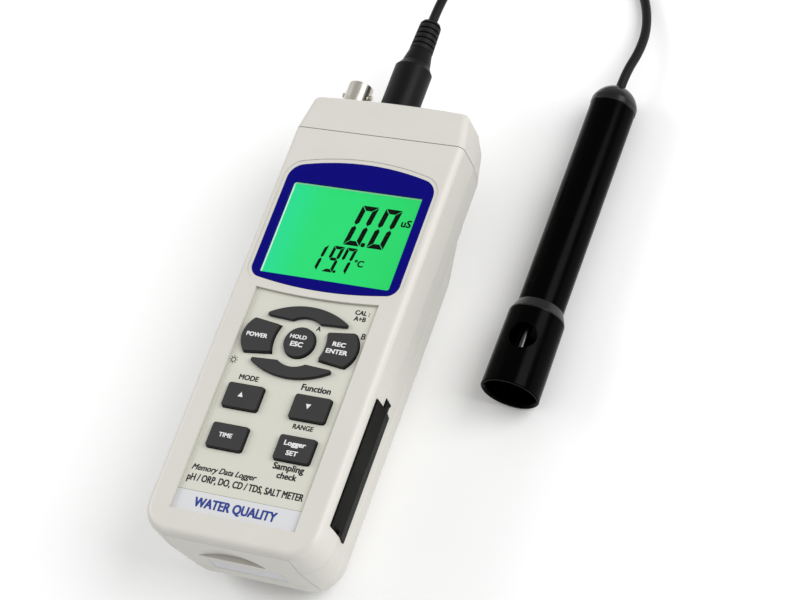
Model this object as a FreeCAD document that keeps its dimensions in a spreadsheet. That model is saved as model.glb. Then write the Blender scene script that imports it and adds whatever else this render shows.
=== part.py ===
import FreeCAD, Part

import math
import os

from FreeCAD import Placement, Rotation, Vector

# A handheld water quality meter that lies on its back, with its conductivity probe and cable.
# Millimetres. +Z is the display's outward normal, +Y runs from the battery end to the sockets,
# +X is to the right of someone reading the display. The origin is the middle of the flat back.

doc = FreeCAD.newDocument("WaterQualityMeter")
sheet = doc.addObject("Spreadsheet::Sheet", "Sizes")

SIZES = (
    # housing
    ("body_half_width", 34.2, "half width at the parting line"),
    ("body_bottom", -90.0, "y of the battery end"),
    ("body_top", 90.0, "y of the socket end at its middle"),
    ("body_depth", 45.0, "back to face"),
    ("parting_level", 31.0, "z of the line between the shells"),
    ("cap_split", 74.6, "y of the line between shells and top cap"),
    ("cap_taper", 2.2, "inward lean of the cap's sides"),
    ("cap_crown", 1.0, "bulge of the socket end"),
    ("wall", 2.4, "thickness of the housing"),
    ("corner_radius", 11.0, "battery end corners seen from above"),
    ("cap_corner_radius", 3.2, "socket end corners seen from above"),
    ("face_edge_radius", 2.8, "rounding round the face"),
    ("side_draft", 12.0, "lean of the rear side walls, degrees"),
    ("end_draft", 2.0, "lean of the rear end walls, degrees"),
    ("grip_radius", 12.0, "rounding along the battery bulge"),
    ("slim_level", 13.5, "z of the back above the battery bulge"),
    ("slim_radius", 7.0, "rounding along the slim part's back"),
    ("parting_gap", 0.12, "gap between the shells"),
    ("cap_gap", 0.30, "gap between shells and cap"),
    ("lip_length", 2.6, "cap spigot inside the shells"),
    ("lip_thickness", 1.2, "wall of the cap spigot"),
    # display
    ("window_half_width", 26.0, "half width of the clear window"),
    ("window_low", 13.9, "y of the window's lower edge"),
    ("window_high", 51.9, "y of the window's upper edge"),
    ("lens_half_width", 29.6, "half width of the display lens"),
    ("lens_thickness", 1.0, "display lens"),
    ("lens_recess", 0.15, "lens below the face"),
    ("surround_width", 1.7, "shallow step round the lens"),
    ("surround_depth", 0.35, "shallow step round the lens"),
    ("lcd_level", 42.8, "z of the liquid crystal glass's front"),
    ("lcd_thickness", 1.6, "liquid crystal glass"),
    ("backlight_thickness", 2.2, "light guide"),
    # keypad
    ("panel_half_width", 24.6, "half width of the keypad overlay"),
    ("panel_depth", 1.3, "overlay surface below the face"),
    ("overlay_thickness", 0.5, "printed overlay"),
    ("panel_low", -80.4, "y of the name strip's lower edge"),
    ("panel_split", -72.4, "y of the line between overlay and strip"),
    ("panel_high", 7.6, "y of the overlay's upper corners"),
    ("panel_sag", 1.2, "hollow of the overlay's upper edge"),
    ("key_rise", 1.5, "key tops above the overlay"),
    ("key_floor", 39.9, "z of the keys' undersides"),
    ("key_gap", 0.25, "gap round each key"),
    ("key_width", 14.1, "rectangular keys"),
    ("key_length", 9.5, "rectangular keys"),
    ("key_column", 13.36, "x of the rectangular keys' middles"),
    ("key_row_high", -35.25, "y of the upper key row"),
    ("key_row_low", -51.1, "y of the lower key row"),
    ("cluster_middle", -11.3, "y of the round key's middle"),
    ("round_key_radius", 5.9, "round key"),
    ("key_round", 0.35, "rounding of the key tops"),
    ("side_key_corner", 0.9, "corners of the keys beside the round one"),
    ("trim_corner", 0.5, "corners of the fixed crescents"),
    ("key_flange", 0.8, "width of the flange that keeps a key in"),
    ("key_flange_thickness", 1.0, "flange under the shell"),
    # boards and cells
    ("board_level", 34.9, "z of the main board's underside"),
    ("board_thickness", 1.6, "main board"),
    ("cell_radius", 7.15, "AA cell"),
    ("cell_length", 49.2, "AA cell without its button"),
    ("cell_spacing", 15.0, "between cell axes"),
    ("cell_level", 12.6, "z of the cell axes"),
    ("roof_level", 20.6, "z of the battery compartment's roof"),
    ("roof_thickness", 1.6, "battery compartment's roof"),
    # battery cover and stand
    ("cover_half_width", 24.8, "half width of the battery cover"),
    ("cover_high", 36.0, "y of the battery cover's inner end"),
    ("cover_end_level", 42.2, "z of the cover's end plate's top"),
    ("cover_gap", 0.2, "gap round the battery cover"),
    ("stand_width", 34.0, "tilt stand"),
    ("stand_length", 66.0, "tilt stand from its pivot"),
    ("stand_thickness", 2.4, "tilt stand"),
    ("stand_pivot", 26.0, "y of the stand's pivot"),
    ("pivot_radius", 1.2, "stand pivot pins"),
    # port cover
    ("port_low", -74.3, "y of the port cover's lower end"),
    ("port_high", -25.3, "y of the port cover's upper end"),
    ("port_floor", 24.7, "z of the port cover's back edge"),
    ("port_ceiling", 40.7, "z of the port cover's front edge"),
    ("port_depth", 1.5, "recess for the port cover"),
    ("port_rise", 0.6, "port cover above the wall"),
    ("port_gap", 0.25, "gap round the port cover"),
    ("tab_width", 4.6, "hinge tab of the port cover"),
    ("tab_length", 3.6, "hinge tab of the port cover"),
    # sockets on the end
    ("jack_level", 31.0, "z of the sockets' axes"),
    ("jack_x", -22.0, "x of the coaxial jack"),
    ("plug_x", -3.5, "x of the conductivity socket"),
    ("spare_x", 15.0, "x of the spare socket"),
    ("jack_radius", 4.8, "coaxial jack's barrel"),
    ("jack_length", 12.6, "coaxial jack beyond the end"),
    ("socket_radius", 7.9, "multi-pin socket's cup, outside"),
    ("socket_bore", 6.68, "multi-pin socket's cup, inside"),
    ("socket_depth", 7.0, "cup, mouth to insulator"),
    # plug
    ("plug_radius", 7.25, "moulded plug"),
    ("plug_shell_radius", 6.60, "plug's metal shell, outside"),
    ("plug_shell_bore", 6.0, "plug's metal shell, inside"),
    ("plug_shell_length", 8.6, "plug's metal shell"),
    ("plug_length", 22.0, "moulded plug's straight part"),
    ("pin_radius", 0.72, "contact pins"),
    ("pin_circle", 3.4, "radius of the pins' circle"),
    # cable
    ("cable_radius", 1.8, "signal cable"),
    ("coil_radius", 21.6, "coil, middle of its turns"),
    ("coil_x", 27.0, "x of the coil's middle"),
    ("coil_y", 206.0, "y of the coil's middle"),
    ("coil_floor", 0.6, "tie's thickness under the coil"),
    # probe
    ("probe_x", 67.8, "x of the probe's open end"),
    ("probe_y", -2.7, "y of the probe's open end"),
    ("probe_turn", 0.45, "probe's lean to the right, degrees"),
    ("probe_length", 130.4, "open end to dome"),
    ("mouth_radius", 10.85, "cell sleeve at its mouth"),
    ("sleeve_radius", 10.45, "cell sleeve at its root"),
    ("sleeve_bore", 9.3, "cell sleeve, inside"),
    ("sleeve_length", 30.6, "cell sleeve"),
    ("hole_radius", 5.1, "the two round side holes"),
    ("hole_place", 19.0, "side holes from the mouth"),
    ("handle_radius", 8.55, "handle tube"),
    ("handle_bore", 6.9, "handle tube, inside"),
    ("collar_length", 4.3, "cone collar"),
    ("dome_place", 121.0, "start of the domed cap"),
    ("dome_radius", 8.75, "lip of the domed cap"),
    ("electrode_radius", 1.5, "electrode rods"),
)

for row, (alias, value, note) in enumerate(SIZES, start=1):
    sheet.set(f"A{row}", note)
    sheet.set(f"B{row}", str(value))
    sheet.setAlias(f"B{row}", alias)
doc.recompute()

X_AXIS = Vector(1, 0, 0)
Y_AXIS = Vector(0, 1, 0)
Z_AXIS = Vector(0, 0, 1)
ALONG_Y = Rotation(X_AXIS, -90)
subparts = {}


def size(alias):
    """A driving dimension from the sheet."""
    return float(sheet.get(alias))


# ---------------------------------------------------------------- building blocks


def line(start, end):
    return Part.LineSegment(Vector(*start, 0), Vector(*end, 0))


def arc(start, middle, end):
    return Part.Arc(Vector(*start, 0), Vector(*middle, 0), Vector(*end, 0))


def turn(centre, radius, start_angle, end_angle):
    """An arc about centre from one angle to another, in degrees."""
    points = []
    for angle in (start_angle, (start_angle + end_angle) / 2, end_angle):
        radians = math.radians(angle)
        points.append((centre[0] + radius * math.cos(radians), centre[1] + radius * math.sin(radians)))
    return arc(*points)


def rounded_rectangle(x, y, width, length, radius):
    """The outline of a rectangle with round corners, about the point (x, y)."""
    half_x = width / 2 - radius
    half_y = length / 2 - radius
    corners = ((half_x, -half_y, -90), (half_x, half_y, 0), (-half_x, half_y, 90), (-half_x, -half_y, 180))
    rounds = [turn((x + dx, y + dy), radius, start, start + 90) for dx, dy, start in corners]
    outline = []
    for index, corner in enumerate(rounds):
        following = rounds[(index + 1) % 4]
        outline.append(corner)
        outline.append(Part.LineSegment(corner.EndPoint, following.StartPoint))
    return outline


def circle(x, y, radius):
    return [Part.Circle(Vector(x, y, 0), Z_AXIS, radius)]


def wire_of(outline, level=0.0):
    """A closed wire of an outline, at a height."""
    wire = Part.Wire(Part.__sortEdges__([geometry.toShape() for geometry in outline]))
    wire.translate(Vector(0, 0, level))
    return wire


def prism(outline, low, high):
    """The solid that an outline sweeps from one height to another."""
    return Part.Face(wire_of(outline, low)).extrude(Vector(0, 0, high - low))


def block(low, high):
    """A box between two corners."""
    return Part.makeBox(*(b - a for a, b in zip(low, high)), Vector(*low))


def rod(radius, start, end):
    """A round bar between two points."""
    way = Vector(*end) - Vector(*start)
    return Part.makeCylinder(radius, way.Length, Vector(*start), way)


def tube(radius, bore, start, end):
    return rod(radius, start, end).cut(rod(bore, start, end))


def joined(shapes):
    shapes = list(shapes)
    whole = shapes[0]
    if len(shapes) > 1:
        whole = shapes[0].fuse(shapes[1:])
    return whole.removeSplitter()


def turned(profile, start, way):
    """The solid of a profile of (distance, radius) points turned about an axis."""
    points = [Vector(radius, 0, distance) for distance, radius in profile]
    face = Part.Face(Part.makePolygon(points + points[:1]))
    solid = face.revolve(Vector(0, 0, 0), Z_AXIS, 360)
    if solid.Volume < 0:
        solid.reverse()
    solid.Placement = Placement(Vector(*start), Rotation(Z_AXIS, Vector(*way)))
    return solid


def keep(label, thing):
    """Lists an object as a sub-part under its own name."""
    thing.Label = label
    subparts[label] = thing
    return thing


def shaped(label, shape, placement=None):
    """A sub-part whose shape comes from Part's own functions."""
    thing = doc.addObject("Part::Feature", label)
    thing.Shape = shape
    if placement is not None:
        thing.Placement = placement
    return keep(label, thing)


def plate(label, outline, length, level, holes=()):
    """A flat piece as a padded sketch: its length and level are expressions."""
    body = doc.addObject("PartDesign::Body", label)
    pad = add_pad(body, label, list(outline) + [edge for hole in holes for edge in hole], length)
    body.setExpression("Placement.Base.z", level)
    keep(label, body)
    return body, pad


def add_pad(body, label, geometry, length, offset=None):
    sketch = body.newObject("Sketcher::SketchObject", label + "_outline")
    floor = next(plane for plane in body.Origin.OriginFeatures if plane.Role == "XY_Plane")
    sketch.AttachmentSupport = [(floor, "")]
    sketch.MapMode = "FlatFace"
    if offset is not None:
        sketch.setExpression("AttachmentOffset.Base.z", offset)
    sketch.addGeometry(geometry, False)
    pad = body.newObject("PartDesign::Pad", label + "_pad")
    pad.Profile = sketch
    pad.setExpression("Length", length)
    return pad


def round_edges(body, feature, radius, chosen):
    """Rounds the edges of a feature whose boxes pass a test."""
    names = [
        f"Edge{number}"
        for number, edge in enumerate(feature.Shape.Edges, start=1)
        if chosen(edge.BoundBox)
    ]
    fillet = body.newObject("PartDesign::Fillet", feature.Name + "_round")
    fillet.Base = (feature, names)
    fillet.Radius = radius
    body.Tip = fillet
    doc.recompute()
    return fillet


def round_top(body, feature, radius):
    """Rounds the upper edges of a feature."""
    doc.recompute()
    top = feature.Shape.BoundBox.ZMax
    return round_edges(body, feature, radius, lambda box: box.ZMin > top - 1e-4)


def upright(box):
    """Whether an edge with this box runs along Z."""
    return box.ZLength > 1 and box.XLength + box.YLength < 1e-3


# ---------------------------------------------------------------- housing envelope


def case_outline(half_width, low, high, low_radius, high_radius):
    """The housing seen from above: round battery end, sides that lean in past the cap's split."""
    split = size("cap_split")
    corner_x = half_width - size("cap_taper") - high_radius
    crown_radius = half_width**2 / (2 * size("cap_crown"))
    crown_centre = high - crown_radius
    corner_y = crown_centre + math.sqrt((crown_radius - high_radius) ** 2 - corner_x**2)
    to_split = Vector(half_width - corner_x, split - corner_y, 0)
    leave = math.degrees(math.atan2(to_split.y, to_split.x) + math.acos(high_radius / to_split.Length))
    meet = math.degrees(math.atan2(corner_y - crown_centre, corner_x))
    cap_corner = turn((corner_x, corner_y), high_radius, leave, meet)
    side_end = cap_corner.StartPoint
    crown_end = cap_corner.EndPoint
    right = [
        line((0, low), (half_width - low_radius, low)),
        turn((half_width - low_radius, low + low_radius), low_radius, -90, 0),
        line((half_width, low + low_radius), (half_width, split)),
        line((half_width, split), (side_end.x, side_end.y)),
        cap_corner,
    ]
    left = [mirrored(piece) for piece in right]
    crown = arc((crown_end.x, crown_end.y), (0, high), (-crown_end.x, crown_end.y))
    return right + [crown] + left


def mirrored(piece):
    copy = piece.copy()
    copy.mirror(Vector(0, 0, 0), Y_AXIS)
    return copy


def front_hull(inset):
    """The front half, with vertical sides and a rounded face edge."""
    outline = case_outline(
        size("body_half_width") - inset,
        size("body_bottom") + inset,
        size("body_top") - inset,
        size("corner_radius") - inset,
        max(size("cap_corner_radius") - inset, 0.6),
    )
    solid = prism(outline, size("parting_level"), size("body_depth") - inset)
    radius = max(size("face_edge_radius") - inset, 0.5)
    top = solid.BoundBox.ZMax
    rim = [edge for edge in solid.Edges if edge.BoundBox.ZMin > top - 1e-4]
    return solid.makeFillet(radius, rim)


def side_profile(radius, base, inset, wall_levels=()):
    """(level, half width) down a rear side: a leaning wall, then a round towards the back."""
    draft = math.radians(size("side_draft"))
    half = size("body_half_width")
    start = base + radius * (1 - math.sin(draft))
    wall_x = half - (size("parting_level") - start) * math.tan(draft)
    centre_x = wall_x - radius * math.cos(draft)
    centre_z = base + radius
    inner = radius - inset
    levels = [
        (level, half - (size("parting_level") - level) * math.tan(draft) - inset / math.cos(draft))
        for level in (size("parting_level"), *wall_levels)
    ]
    steps = 6
    for step in range(steps + 1):
        angle = draft + (math.pi / 2 - draft) * step / steps
        levels.append((centre_z - inner * math.sin(angle), centre_x + inner * math.cos(angle)))
    return levels


def end_level(level, radius, base, inset):
    """How far the end wall has drawn in at a level."""
    lean = (size("parting_level") - level) * math.tan(math.radians(size("end_draft")))
    above = level - base
    if above >= radius:
        return inset + lean
    drop = radius - above
    return inset + lean + radius - inset - math.sqrt(max((radius - inset) ** 2 - drop**2, 0))


def stacked(sections):
    """A solid through level outlines: straight down the wall, smooth round the corner."""
    wires = [wire_of(outline, level) for level, outline in sections]
    wall_part = Part.makeLoft(wires[:2], True, True)
    round_part = Part.makeLoft(wires[1:], True, False)
    return joined([wall_part, round_part])


def slim_hull(inset):
    """The rear half at the thickness of the slim upper part, over the whole length."""
    radius = size("slim_radius")
    base = size("slim_level")
    sections = []
    for level, half_width in side_profile(radius, base, inset):
        back = end_level(level, radius, base, inset)
        outline = case_outline(
            half_width,
            size("body_bottom") + back,
            size("body_top") - back,
            size("corner_radius") - inset,
            max(size("cap_corner_radius") - inset, 0.6),
        )
        sections.append((level, outline))
    return stacked(sections)


def bulge_hull(inset):
    """The deeper part that holds the cells, with a ramp up to the slim part."""
    radius = size("grip_radius")
    ramp_start = 32.0
    ramp_length = 34.0
    sections = []
    ramp_height = size("slim_level") + 4.0
    wall_levels = [ramp_height - 2.0 * step for step in range(4)]
    for level, half_width in side_profile(radius, 0.0, inset, wall_levels):
        back = end_level(level, radius + 2, 0.0, inset)
        climb = min(max((level - inset) / ramp_height, 0), 1)
        ramp = ramp_start + ramp_length * math.acos(1 - 2 * climb) / math.pi - inset
        low = size("body_bottom") + back
        middle = (low + ramp) / 2
        radius_here = size("corner_radius") - inset
        outline = rounded_rectangle(0, middle, 2 * half_width, ramp - low, radius_here)
        sections.append((level, outline))
    return stacked(sections)


def hull(inset):
    """The housing's outer form, drawn in by a distance."""
    return joined([front_hull(inset), slim_hull(inset), bulge_hull(inset)])


# ---------------------------------------------------------------- outlines on the face


def lens_outline(grow=0.0):
    """Crowned top and bottom edges, straight sides, round corners."""
    side = size("lens_half_width") + grow
    right = [
        arc((25.4, 11.7 - grow), (28.6 + 0.7 * grow, 13.4 - 0.7 * grow), (side, 17.0)),
        line((side, 17.0), (side, 53.4)),
        arc((side, 53.4), (28.1 + 0.8 * grow, 57.2 + 0.6 * grow), (24.6, 59.3 + grow)),
    ]
    left = [mirrored(piece) for piece in right]
    top = arc((24.6, 59.3 + grow), (0, 62.3 + grow), (-24.6, 59.3 + grow))
    bottom = arc((-25.4, 11.7 - grow), (0, 9.6 - grow), (25.4, 11.7 - grow))
    return right + [top] + left + [bottom]


def panel_outline(low, grow=0.0):
    """The keypad area from a lower edge up to its hollow upper edge."""
    side = size("panel_half_width") + grow
    high = size("panel_high") + grow
    return [
        line((-side, low), (side, low)),
        line((side, low), (side, high)),
        arc((side, high), (0, high - size("panel_sag")), (-side, high)),
        line((-side, high), (-side, low)),
    ]


def rectangle_key(column, row, grow=0.0):
    width = size("key_width") + 2 * grow
    length = size("key_length") + 2 * grow
    return rounded_rectangle(column, row, width, length, 1.0 + grow)


def side_key(side, grow=0.0):
    """A key beside the round one: hollow towards it, round on the outside. side is -1 or 1."""
    y = size("cluster_middle")
    inner = 9.2 - grow
    inner_half = 5.5 + grow
    outer = 19.9 + 0.5 * grow
    outer_half = 6.8 + grow
    hollow_x = 10.4 - grow
    round_x = 22.9 + grow
    return [
        arc((side * inner, y - inner_half), (side * hollow_x, y), (side * inner, y + inner_half)),
        line((side * inner, y + inner_half), (side * outer, y + outer_half)),
        arc((side * outer, y + outer_half), (side * round_x, y), (side * outer, y - outer_half)),
        line((side * outer, y - outer_half), (side * inner, y - inner_half)),
    ]


def trim_arc(up, grow=0.0):
    """The fixed crescent above (1) or below (-1) the round key."""
    y = size("cluster_middle")
    tip_x = 15.8 + grow
    tip_high = y + up * (9.75 + grow)
    tip_low = y + up * (8.55 - grow)
    notch_x = 5.5
    notch = y + up * (8.0 - grow)
    return [
        arc((-tip_x, tip_high), (0, y + up * (14.15 + grow)), (tip_x, tip_high)),
        line((tip_x, tip_high), (tip_x, tip_low)),
        line((tip_x, tip_low), (notch_x, notch)),
        arc((notch_x, notch), (0, y + up * (9.7 - grow)), (-notch_x, notch)),
        line((-notch_x, notch), (-tip_x, tip_low)),
        line((-tip_x, tip_low), (-tip_x, tip_high)),
    ]


def round_key(grow=0.0):
    return circle(0, size("cluster_middle"), size("round_key_radius") + grow)


KEYS = {
    "key_power": lambda grow=0.0: side_key(-1, grow),
    "key_hold": round_key,
    "key_record": lambda grow=0.0: side_key(1, grow),
    "key_up": lambda grow=0.0: rectangle_key(-size("key_column"), size("key_row_high"), grow),
    "key_down": lambda grow=0.0: rectangle_key(size("key_column"), size("key_row_high"), grow),
    "key_time": lambda grow=0.0: rectangle_key(-size("key_column"), size("key_row_low"), grow),
    "key_set": lambda grow=0.0: rectangle_key(size("key_column"), size("key_row_low"), grow),
}
TRIM_ARCS = (lambda grow=0.0: trim_arc(1, grow), lambda grow=0.0: trim_arc(-1, grow))

FACE = size("body_depth")
OVERLAY_TOP = FACE - size("panel_depth")
OVERLAY_FLOOR = OVERLAY_TOP - size("overlay_thickness")
SHELF = 41.4

outer = hull(0.0)
inner = hull(size("wall"))
skin = outer.cut(inner)

# ---------------------------------------------------------------- where things pass the housing

SCREWS = ((-24.0, 67.0, 17.0), (24.0, 67.0, 17.0), (-17.0, -79.5, 18.2), (17.0, -79.5, 18.2))
SCREW_RADIUS = 1.45
POST_RADIUS = 3.2
CARD_Y = (-54.2, -28.4)
CARD_Z = (31.5, 33.9)
POWER_Y = -60.4
SIGNAL_Y = -69.0
JACK_HOLE_Z = 28.0
RESET = (-62.0, 38.4)


def cover_region(gap):
    """The battery cover's space: the back panel and the plate up the battery end."""
    half = size("cover_half_width") + gap
    panel = block((-half, size("body_bottom") - 2, -2), (half, size("cover_high") + gap, 9.0))
    plate_top = size("cover_end_level") + gap
    end_plate = block((-half, size("body_bottom") - 2, -2), (half, size("body_bottom") + 2.5, plate_top))
    return panel.fuse(end_plate)


def port_region(gap, depth):
    """The port cover's space on the right wall, down to a depth below it."""
    low = size("port_low") - gap
    high = size("port_high") + gap
    tab_middle = (size("port_floor") + size("port_ceiling")) / 2 - 1.2
    tab_half = size("tab_width") / 2 + gap
    main = block((20, low, size("port_floor") - gap), (60, high, size("port_ceiling") + gap))
    tab_end = high + size("tab_length") + gap
    tab = block((20, high - 1, tab_middle - tab_half), (60, tab_end, tab_middle + tab_half))
    return main.fuse(tab).cut(hull(depth))


def case_openings():
    """Everything that is cut from the two shells together."""
    cuts = [cover_region(size("cover_gap")), port_region(0.0, size("port_depth"))]
    cuts.append(block((25, CARD_Y[0], CARD_Z[0]), (60, CARD_Y[1], CARD_Z[1])))
    cuts.append(rod(3.2, (25, POWER_Y, JACK_HOLE_Z), (60, POWER_Y, JACK_HOLE_Z)))
    cuts.append(rod(2.6, (25, SIGNAL_Y, JACK_HOLE_Z), (60, SIGNAL_Y, JACK_HOLE_Z)))
    cuts.append(rod(1.3, (25, RESET[0], RESET[1]), (60, RESET[0], RESET[1])))
    return cuts


openings = case_openings()
shells_end = size("cap_split") - size("cap_gap") / 2
cap_start = size("cap_split") + size("cap_gap") / 2
parting_high = size("parting_level") + size("parting_gap") / 2
parting_low = size("parting_level") - size("parting_gap") / 2


def make_front_shell():
    shelf = block((-27.5, -82.5, SHELF), (27.5, 9.0, FACE - size("wall") + 0.1))
    posts = [prism(circle(x, y, POST_RADIUS), parting_high, FACE - size("wall") + 0.1) for x, y, z in SCREWS]
    body = joined([skin, shelf, *posts]).common(block((-60, -120, parting_high), (60, shells_end, 60)))
    cuts = list(openings)
    lens_floor = FACE - size("lens_recess") - size("lens_thickness")
    cuts.append(prism(lens_outline(0.12), lens_floor, 60))
    cuts.append(prism(lens_outline(size("surround_width")), FACE - size("surround_depth"), 60))
    window_middle = (size("window_low") + size("window_high")) / 2
    cuts.append(prism(rounded_rectangle(0, window_middle + 0.2, 54.4, 41.0, 1.5), 30, 60))
    cuts.append(prism(panel_outline(size("panel_low") - 0.1, 0.1), OVERLAY_FLOOR, 60))
    cuts += [prism(outline(size("key_gap")), 30, 60) for outline in KEYS.values()]
    pilot = SCREW_RADIUS - 0.1
    cuts += [rod(pilot, (x, y, 20), (x, y, 39.5)) for x, y, z in SCREWS]
    return shaped("front_shell", body.cut(cuts))


def make_back_shell():
    roof_low = size("roof_level")
    roof = block((-40, -85.5, roof_low), (40, 40.0, roof_low + size("roof_thickness")))
    high_wall = block((-40, 38.4, 5.8), (40, 40.0, roof_low + 1))
    low_wall = block((-40, -74.6, 5.8), (40, -73.0, roof_low + 1))
    inside = joined([roof, high_wall, low_wall]).common(hull(size("wall") / 2))
    posts = [prism(circle(x, y, POST_RADIUS), 14.5, parting_low) for x, y, z in SCREWS[:2]]
    body = joined([skin, inside, *posts]).common(block((-60, -120, -10), (60, shells_end, parting_low)))
    cuts = list(openings)
    for x, y, head in SCREWS:
        cuts.append(rod(2.9, (x, y, -5), (x, y, head)))
        cuts.append(rod(SCREW_RADIUS + 0.25, (x, y, -5), (x, y, 40)))
    return shaped("back_shell", body.cut(cuts))


def make_top_cap():
    start = size("cap_split") - size("lip_length")
    lip_outside = hull(size("wall") + 0.1)
    lip_inside = hull(size("wall") + size("lip_thickness"))
    end = cap_start + 2.5
    lip = lip_outside.cut(lip_inside).common(block((-60, start, -10), (60, end, 60)))
    root = hull(size("wall") - 0.1).cut(lip_inside).common(block((-60, cap_start, -10), (60, end, 60)))
    shell = skin.common(block((-60, cap_start, -10), (60, 120, 60)))
    level = size("jack_level")
    cuts = [rod(4.9, (size("jack_x"), 70, level), (size("jack_x"), 120, level))]
    for x in (size("plug_x"), size("spare_x")):
        cuts.append(rod(7.0, (x, 84, level), (x, 120, level)))
    return shaped("top_cap", joined([shell, lip, root]).cut(cuts))


# ---------------------------------------------------------------- display and keypad


def make_display():
    lens, pad = plate("display_lens", lens_outline(), "Sizes.lens_thickness",
                      "Sizes.body_depth - Sizes.lens_recess - Sizes.lens_thickness")
    round_top(lens, pad, 0.25)
    middle = (size("window_low") + size("window_high")) / 2
    height = size("window_high") - size("window_low")
    window = rounded_rectangle(0, middle, 2 * size("window_half_width") + 0.1, height + 0.1, 0.8)
    rim = rounded_rectangle(0, middle + 0.2, 54.0, 40.6, 1.3)
    under_lens = "Sizes.body_depth - Sizes.lens_recess - Sizes.lens_thickness"
    plate("lcd_frame", rim, under_lens + " - Sizes.lcd_level - 0.1", "Sizes.lcd_level + 0.05", [window])
    glass = rounded_rectangle(0, middle + 0.2, 53.8, 40.4, 0.5)
    plate("lcd_panel", glass, "Sizes.lcd_thickness", "Sizes.lcd_level - Sizes.lcd_thickness")
    plate("backlight", glass, "Sizes.backlight_thickness",
          "Sizes.lcd_level - Sizes.lcd_thickness - Sizes.backlight_thickness - 0.1")


def make_keypad():
    gap = size("key_gap")
    holes = [outline(gap) for outline in KEYS.values()]
    overlay_low = size("panel_split") + 0.08
    plate("keypad_overlay", panel_outline(overlay_low), "Sizes.overlay_thickness",
          "Sizes.body_depth - Sizes.panel_depth - Sizes.overlay_thickness", holes)
    strip_middle = (size("panel_low") + size("panel_split")) / 2
    strip_length = size("panel_split") - size("panel_low") - 0.08
    strip = rounded_rectangle(0, strip_middle, 2 * size("panel_half_width"), strip_length, 0.4)
    plate("name_strip", strip, "Sizes.overlay_thickness",
          "Sizes.body_depth - Sizes.panel_depth - Sizes.overlay_thickness")
    shaped("trim_arcs", Part.makeCompound([make_trim_arc(outline) for outline in TRIM_ARCS]))
    for label, outline in KEYS.items():
        length = "Sizes.body_depth - Sizes.panel_depth + Sizes.key_rise - Sizes.key_floor"
        body, pad = plate(label, outline(), length, "Sizes.key_floor")
        finish_key(body, label, outline, pad)
    mat = rounded_rectangle(0, -29.0, 50.0, 64.0, 2.0)
    sheet_solid = prism(mat, 36.7, 37.7)
    domes = []
    for outline in KEYS.values():
        middle = wire_of(outline()).BoundBox.Center
        domes.append(Part.makeCone(4.2, 3.2, 1.2, Vector(middle.x, middle.y, 37.7)))
    shaped("keypad_mat", joined([sheet_solid, *domes]))


def finish_key(body, label, outline, pad):
    """Rounds a key and adds the flange that holds it under the shell."""
    feature = pad
    if label in ("key_power", "key_record"):
        doc.recompute()
        feature = round_edges(body, pad, size("side_key_corner"), upright)
    round_top(body, feature, size("key_round"))
    add_pad(body, label + "_flange", outline(size("key_flange")), "Sizes.key_flange_thickness")


def make_trim_arc(outline):
    """A fixed crescent with round ends and a rounded top."""
    solid = prism(outline(), OVERLAY_TOP, OVERLAY_TOP + size("key_rise"))
    solid = solid.makeFillet(size("trim_corner"), [edge for edge in solid.Edges if upright(edge.BoundBox)])
    top = solid.BoundBox.ZMax - 1e-4
    return solid.makeFillet(size("key_round"), [edge for edge in solid.Edges if edge.BoundBox.ZMin > top])


# ---------------------------------------------------------------- inside the meter


def make_boards():
    board = rounded_rectangle(0, -5.0, 58.0, 134.0, 1.0)
    plate("main_board", board, "Sizes.board_thickness", "Sizes.board_level")
    shaped("socket_board", block((-26, 75.3, 20.5), (24, 76.9, 40.5)))
    low = size("board_level")
    inside = 31.3
    card = block((8.0, CARD_Y[0] - 0.6, 30.9), (inside, CARD_Y[1] + 0.6, low))
    slot = block((9.0, CARD_Y[0] + 0.2, 31.6), (40, CARD_Y[1] - 0.2, 33.8))
    shaped("card_socket", card.cut(slot))
    make_side_jack("power_jack", POWER_Y, 4.2, 3.0, 0.95)
    make_side_jack("signal_jack", SIGNAL_Y, 3.0, 1.8, 0.0)
    button = joined([
        rod(1.0, (31.0, RESET[0], RESET[1]), (32.5, RESET[0], RESET[1])),
        block((30.2, RESET[0] - 1.5, RESET[1] - 1.5), (31.2, RESET[0] + 1.5, RESET[1] + 1.5)),
    ])
    shaped("reset_button", button)
    shaped("reset_switch", block((25.5, RESET[0] - 2.5, low + 1.6), (29.6, RESET[0] + 2.5, RESET[1] + 1.6)))


def make_side_jack(label, y, half, bore, pin_radius):
    """A jack under the board's edge that opens in the right wall."""
    inside = 30.2
    shell = block((18.5, y - half, JACK_HOLE_Z - 4.2), (inside, y + half, size("board_level")))
    solid = shell.cut(rod(bore, (20.5, y, JACK_HOLE_Z), (40, y, JACK_HOLE_Z)))
    if pin_radius:
        solid = solid.fuse(rod(pin_radius, (20.0, y, JACK_HOLE_Z), (inside - 0.5, y, JACK_HOLE_Z)))
    shaped(label, solid)


CELL_LOW = -65.5
CELL_BUTTON = 1.3


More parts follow.
